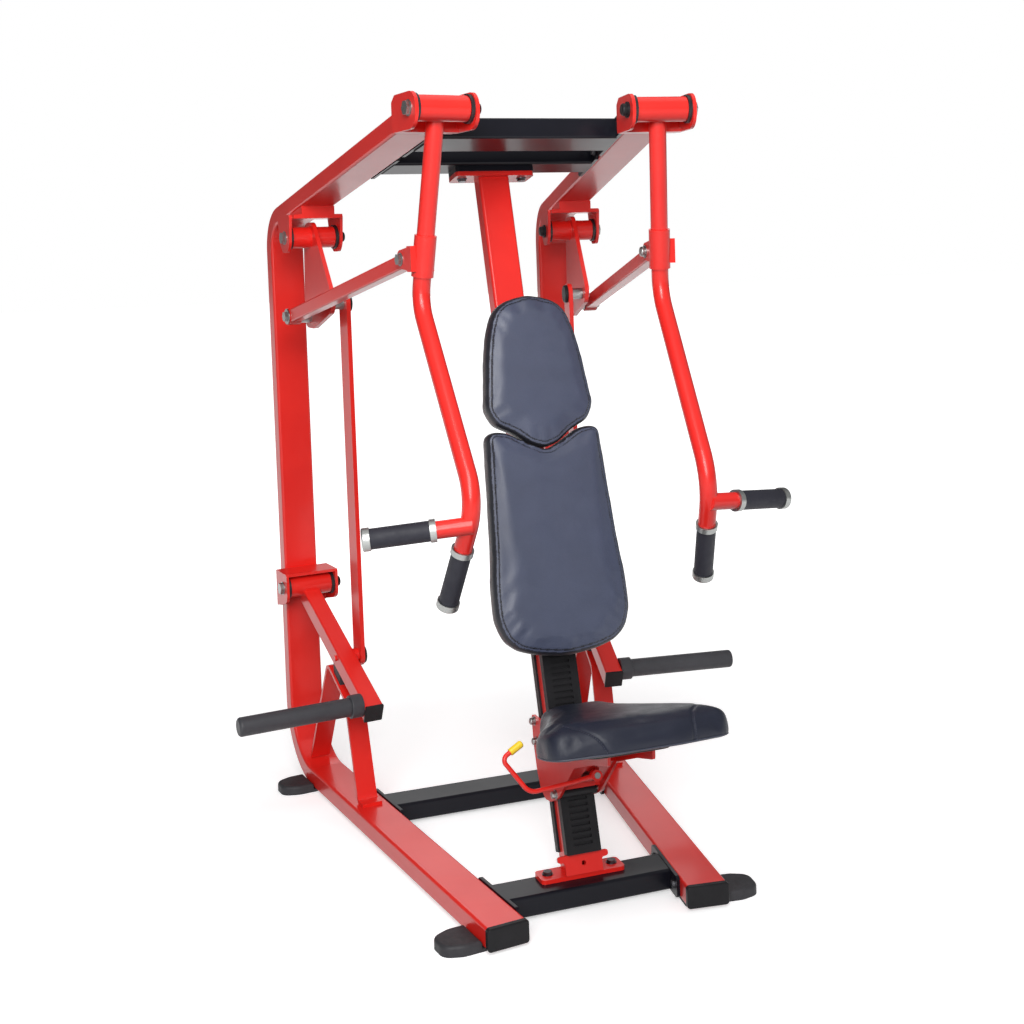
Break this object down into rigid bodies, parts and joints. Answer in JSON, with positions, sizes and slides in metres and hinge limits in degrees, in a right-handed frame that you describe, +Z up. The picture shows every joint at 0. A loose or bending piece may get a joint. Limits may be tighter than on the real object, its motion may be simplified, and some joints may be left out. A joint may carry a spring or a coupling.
{
  "type": "chest press machine",
  "caption": "Plate-loaded seated chest press machine with red tubular frame, swinging press arms, linkage-driven weight horns, padded headrest, backrest and height-adjustable seat.",
  "frame": {"origin": "centre of the overall footprint, on the floor", "axes": "+X to the machine's right seen from the front, +Y from the seat towards the rear uprights, +Z up"},
  "size_m": [1.429, 1.6445, 1.907],
  "materials": {
    "red_paint": "gloss",
    "black_paint": "satin",
    "black_plastic": "matte",
    "rubber": "matte",
    "vinyl": "satin",
    "plywood": "matte",
    "zinc": "satin",
    "aluminium": "satin",
    "yellow_sleeve": "satin",
    "dark_steel": "satin"
  },
  "bodies": {
    "machine_frame": {"side_frame_left": "red_paint", "side_frame_right": "red_paint", "front_crossmember": "black_paint", "rear_crossmember": "black_paint", "top_front_crossbeam": "black_paint", "top_rear_crossbeam": "black_paint", "backrest_column": "red_paint", "column_head_spacer": "black_paint", "seat_track_cover": "black_plastic", "column_guide_strips": "black_plastic", "rail_end_caps": "black_plastic", "foot_pads": "rubber", "weight_stops": "red_paint", "stop_bumpers": "rubber", "arm_clevis_left": "red_paint", "arm_clevis_right": "red_paint", "rocker_bracket_left": "red_paint", "rocker_bracket_right": "red_paint", "weight_arm_bracket_left": "red_paint", "weight_arm_bracket_right": "red_paint", "frame_screws": "zinc", "pivot_shafts": "zinc", "pivot_nut_caps": "black_plastic", "thrust_rings": "dark_steel", "headrest_pad": "vinyl", "backrest_pad": "vinyl", "pad_boards": "plywood", "pad_brackets": "black_paint"},
    "arm_left": {"press_arm_left": "red_paint", "arm_grips_left": "rubber", "grip_rings_left": "aluminium", "link_bolt_left": "zinc"},
    "link_left": {"link_bar_left": "red_paint"},
    "rocker_body_left": {"rocker_left": "red_paint", "rocker_pins_left": "zinc"},
    "rod_left": {"push_rod_left": "red_paint", "rod_bearing_caps_left": "black_plastic"},
    "lever_arm_left": {"weight_arm_left": "red_paint", "weight_arm_cap_left": "black_plastic", "weight_horn_left": "black_paint"},
    "arm_right": {"press_arm_right": "red_paint", "arm_grips_right": "rubber", "grip_rings_right": "aluminium", "link_bolt_right": "zinc"},
    "link_right": {"link_bar_right": "red_paint"},
    "rocker_body_right": {"rocker_right": "red_paint", "rocker_pins_right": "zinc"},
    "rod_right": {"push_rod_right": "red_paint", "rod_bearing_caps_right": "black_plastic"},
    "lever_arm_right": {"weight_arm_right": "red_paint", "weight_arm_cap_right": "black_plastic", "weight_horn_right": "black_paint"},
    "carriage": {"seat_carriage": "red_paint", "seat_rollers": "black_plastic", "roller_axles": "zinc", "seat_cushion": "vinyl", "seat_board": "plywood"},
    "lever": {"seat_lever": "red_paint", "seat_lever_tip": "yellow_sleeve"},
    "latch": {"seat_latch_pin": "zinc"}
  },
  "joints": [
    {"name": "press_arm_hinge_left", "type": "hinge", "parent": "machine_frame", "child": "arm_left", "pos_m": [-0.27213, -0.37497, 1.87], "axis": [-0.9912, -0.1323, 0], "range_deg": [0, 25]},
    {"name": "rocker_hinge_left", "type": "hinge", "parent": "machine_frame", "child": "rocker_body_left", "pos_m": [-0.39513, 0.54686, 1.606], "axis": [-0.9912, -0.1323, 0], "range_deg": [0, 39]},
    {"name": "link_hinge_left", "type": "hinge", "parent": "arm_left", "child": "link_left", "pos_m": [-0.31569, -0.23752, 1.533], "axis": [-0.9912, -0.1323, 0], "range_deg": [-30, 0]},
    {"name": "rod_hinge_left", "type": "hinge", "parent": "rocker_body_left", "child": "rod_left", "pos_m": [-0.33432, 0.42382, 1.418], "axis": [-0.9912, -0.1323, 0], "range_deg": [-42.5, 0]},
    {"name": "weight_arm_hinge_left", "type": "hinge", "parent": "machine_frame", "child": "lever_arm_left", "pos_m": [-0.41629, 0.70546, 0.578], "axis": [-0.9912, -0.1323, 0], "range_deg": [0, 22]},
    {"name": "press_arm_hinge_right", "type": "hinge", "parent": "machine_frame", "child": "arm_right", "pos_m": [0.27213, -0.37497, 1.87], "axis": [-0.9912, 0.1323, 0], "range_deg": [0, 25]},
    {"name": "rocker_hinge_right", "type": "hinge", "parent": "machine_frame", "child": "rocker_body_right", "pos_m": [0.39513, 0.54686, 1.606], "axis": [-0.9912, 0.1323, 0], "range_deg": [0, 39]},
    {"name": "link_hinge_right", "type": "hinge", "parent": "arm_right", "child": "link_right", "pos_m": [0.31569, -0.23752, 1.533], "axis": [-0.9912, 0.1323, 0], "range_deg": [-30, 0]},
    {"name": "rod_hinge_right", "type": "hinge", "parent": "rocker_body_right", "child": "rod_right", "pos_m": [0.33432, 0.42382, 1.418], "axis": [-0.9912, 0.1323, 0], "range_deg": [-42.5, 0]},
    {"name": "weight_arm_hinge_right", "type": "hinge", "parent": "machine_frame", "child": "lever_arm_right", "pos_m": [0.41629, 0.70546, 0.578], "axis": [-0.9912, 0.1323, 0], "range_deg": [0, 22]},
    {"name": "seat_slide", "type": "slide", "parent": "machine_frame", "child": "carriage", "axis": [0, 0.2807, 0.9598], "range_m": [-0.09, 0.075]},
    {"name": "seat_lever_hinge", "type": "hinge", "parent": "carriage", "child": "lever", "pos_m": [0, -0.50824, 0.33504], "axis": [0, 0.9598, -0.2807], "range_deg": [0, 12], "stiffness_Nm_per_rad": 1.5, "springref_deg": -20.05},
    {"name": "latch_pin_slide", "type": "slide", "parent": "carriage", "child": "latch", "axis": [0, -0.9598, 0.2807], "range_m": [0, 0.009]}
  ],
  "couplings": [
    {"joint": "rocker_hinge_left", "follows": "press_arm_hinge_left", "ratio": 1.5361},
    {"joint": "link_hinge_left", "follows": "press_arm_hinge_left", "ratio": -1.1771},
    {"joint": "weight_arm_hinge_left", "follows": "press_arm_hinge_left", "ratio": 0.8592},
    {"joint": "rod_hinge_left", "follows": "press_arm_hinge_left", "ratio": -1.6723},
    {"joint": "rocker_hinge_right", "follows": "press_arm_hinge_right", "ratio": 1.5361},
    {"joint": "link_hinge_right", "follows": "press_arm_hinge_right", "ratio": -1.1771},
    {"joint": "weight_arm_hinge_right", "follows": "press_arm_hinge_right", "ratio": 0.8592},
    {"joint": "rod_hinge_right", "follows": "press_arm_hinge_right", "ratio": -1.6723},
    {"joint": "latch_pin_slide", "follows": "seat_lever_hinge", "m_per_rad": 0.038}
  ]
}
